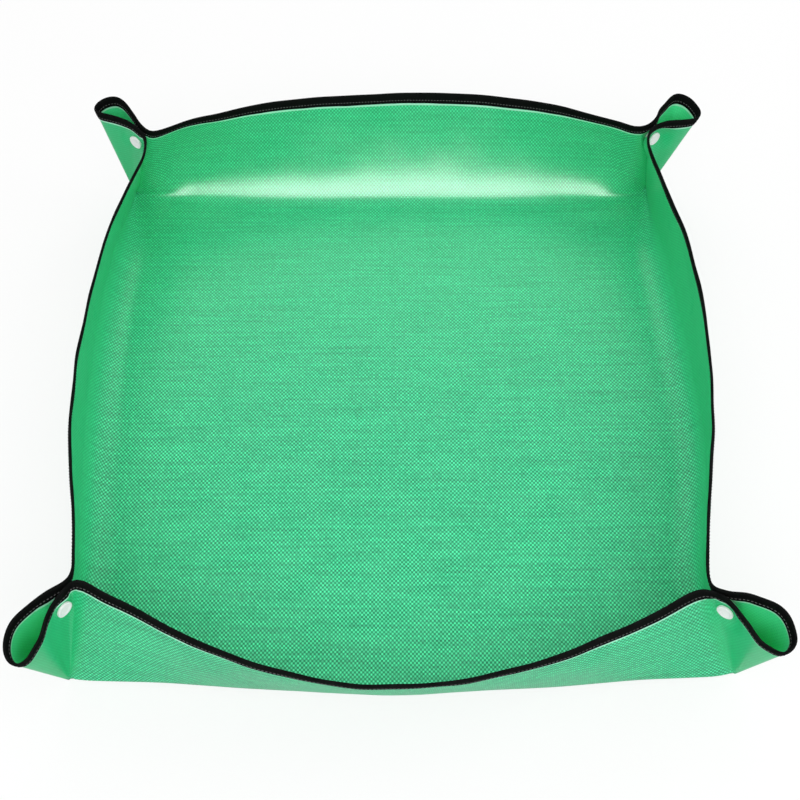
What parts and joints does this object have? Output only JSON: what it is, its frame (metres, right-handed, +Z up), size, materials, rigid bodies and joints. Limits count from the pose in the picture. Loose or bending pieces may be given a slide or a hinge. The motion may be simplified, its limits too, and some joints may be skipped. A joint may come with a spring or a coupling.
{
  "type": "repotting mat",
  "caption": "Square woven mat with a taped edge, its corners pinched and held by press studs so that its sides stand up as a shallow tray for repotting plants.",
  "frame": {"origin": "centre of the floor's underside, on the surface that the mat lies on", "axes": "+Z up, +X to the right and -Y to the front, square to the floor's edges"},
  "size_m": [0.5299, 0.5562, 0.1073],
  "materials": {
    "woven_sheet": "plain flat-tape weave with a smooth coating, slightly glossy",
    "edge_binding": "matte black tape",
    "seam_thread": "dark polyester thread",
    "snap_plastic": "smooth glossy white"
  },
  "bodies": {
    "mat": {"woven_sheet": "woven_sheet", "edge_binding": "edge_binding", "needle_thread": "seam_thread", "bobbin_thread": "seam_thread", "fixed_cap_front_right": "snap_plastic", "fixed_cap_back_right": "snap_plastic", "fixed_cap_back_left": "snap_plastic", "fixed_cap_front_left": "snap_plastic", "socket_front_right": "snap_plastic", "socket_back_right": "snap_plastic", "socket_back_left": "snap_plastic", "socket_front_left": "snap_plastic"},
    "corner_front_right": {"stud_front_right": "snap_plastic", "opening_cap_front_right": "snap_plastic"},
    "corner_back_right": {"stud_back_right": "snap_plastic", "opening_cap_back_right": "snap_plastic"},
    "corner_back_left": {"stud_back_left": "snap_plastic", "opening_cap_back_left": "snap_plastic"},
    "corner_front_left": {"stud_front_left": "snap_plastic", "opening_cap_front_left": "snap_plastic"}
  },
  "joints": [
    {"name": "front_right_corner_opening", "type": "hinge", "parent": "mat", "child": "corner_front_right", "pos_m": [0.2448, -0.23904, 0.00025], "axis": [-0.788, 0.6157, 0], "range_deg": [0, 35], "deforming": ["woven_sheet", "edge_binding", "needle_thread", "bobbin_thread"]},
    {"name": "back_right_corner_opening", "type": "hinge", "parent": "mat", "child": "corner_back_right", "pos_m": [0.2328, 0.24, 0.00025], "axis": [0.788, 0.6157, 0], "range_deg": [0, 35], "deforming": ["woven_sheet", "edge_binding", "needle_thread", "bobbin_thread"]},
    {"name": "back_left_corner_opening", "type": "hinge", "parent": "mat", "child": "corner_back_left", "pos_m": [-0.24144, 0.2388, 0.00025], "axis": [0.8039, -0.5948, 0], "range_deg": [0, 35], "deforming": ["woven_sheet", "edge_binding", "needle_thread", "bobbin_thread"]},
    {"name": "front_left_corner_opening", "type": "hinge", "parent": "mat", "child": "corner_front_left", "pos_m": [-0.23832, -0.24096, 0.00025], "axis": [-0.6018, -0.7986, 0], "range_deg": [0, 35], "deforming": ["woven_sheet", "edge_binding", "needle_thread", "bobbin_thread"]}
  ]
}
